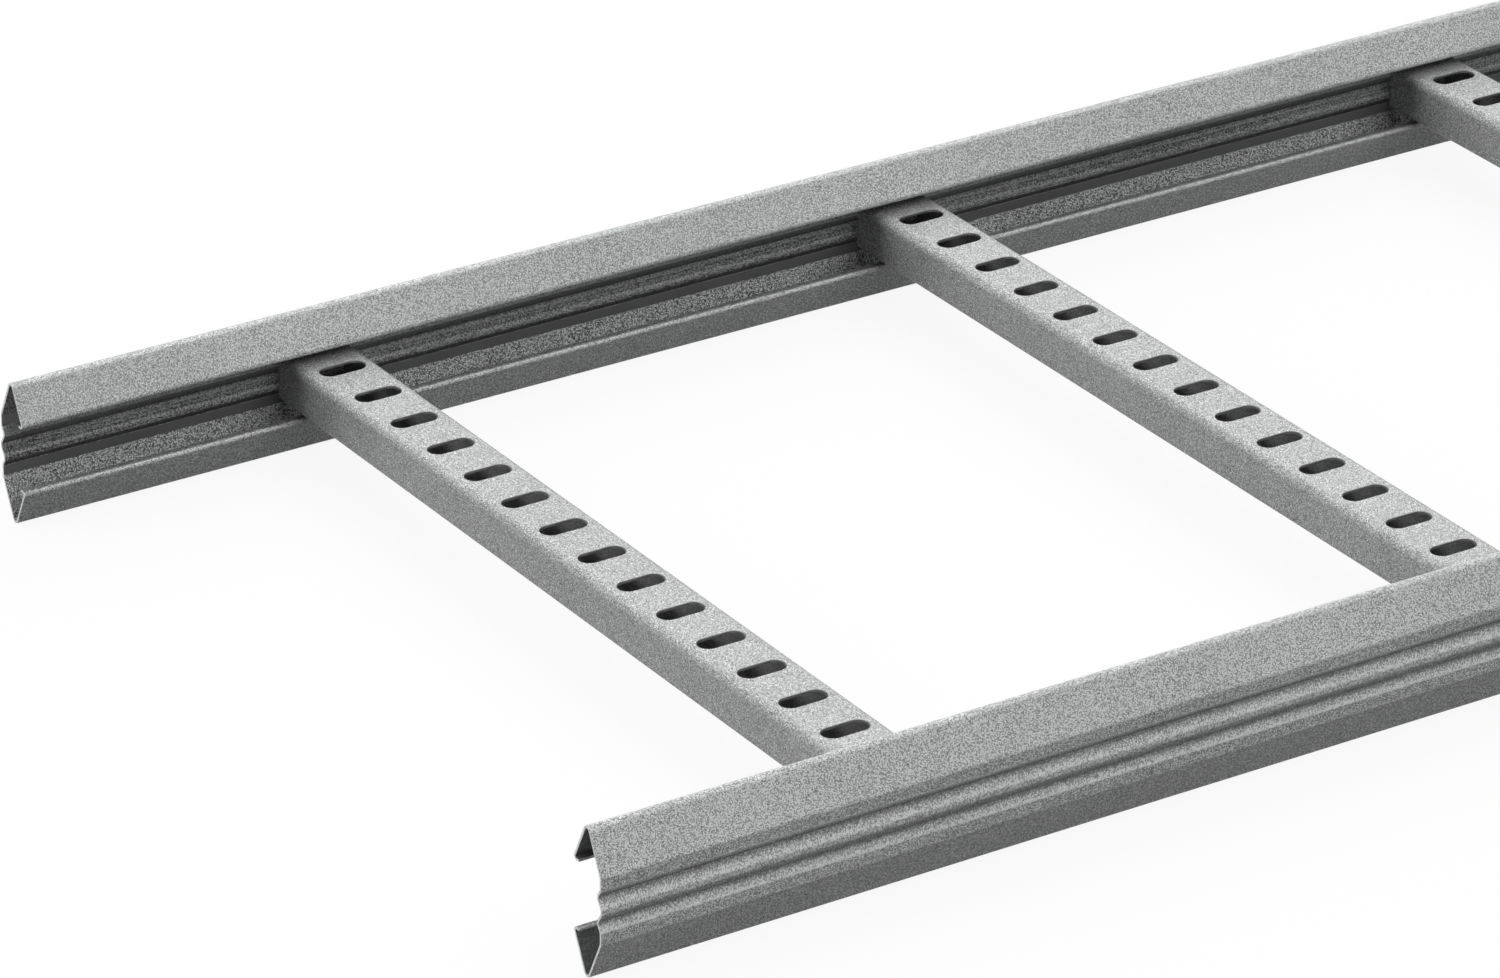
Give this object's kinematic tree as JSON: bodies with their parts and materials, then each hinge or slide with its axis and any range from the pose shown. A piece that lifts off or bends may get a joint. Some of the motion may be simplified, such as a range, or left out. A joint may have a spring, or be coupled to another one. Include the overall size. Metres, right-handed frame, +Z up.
{
  "type": "cable ladder section",
  "caption": "Straight cable ladder section with folded, ribbed side rails joined by slotted C-shaped rungs, in galvanised sheet steel.",
  "frame": {"origin": "on the floor under the middle of the ladder, which lies on the lower folds of its side rails", "axes": "+X along the side rails, +Y across them towards the left rail, +Z up out of the open top"},
  "size_m": [3, 0.4, 0.0545],
  "materials": {
    "rail_steel": "galvanised, fine grey sparkle, dull",
    "rung_steel": "galvanised, fine grey sparkle, dull"
  },
  "bodies": {
    "root": {"side_rail_left": "rail_steel", "side_rail_right": "rail_steel", "rung_01": "rung_steel", "rung_02": "rung_steel", "rung_03": "rung_steel", "rung_04": "rung_steel", "rung_05": "rung_steel", "rung_06": "rung_steel", "rung_07": "rung_steel", "rung_08": "rung_steel", "rung_09": "rung_steel", "rung_10": "rung_steel", "rung_11": "rung_steel", "rung_12": "rung_steel"}
  },
  "joints": []
}
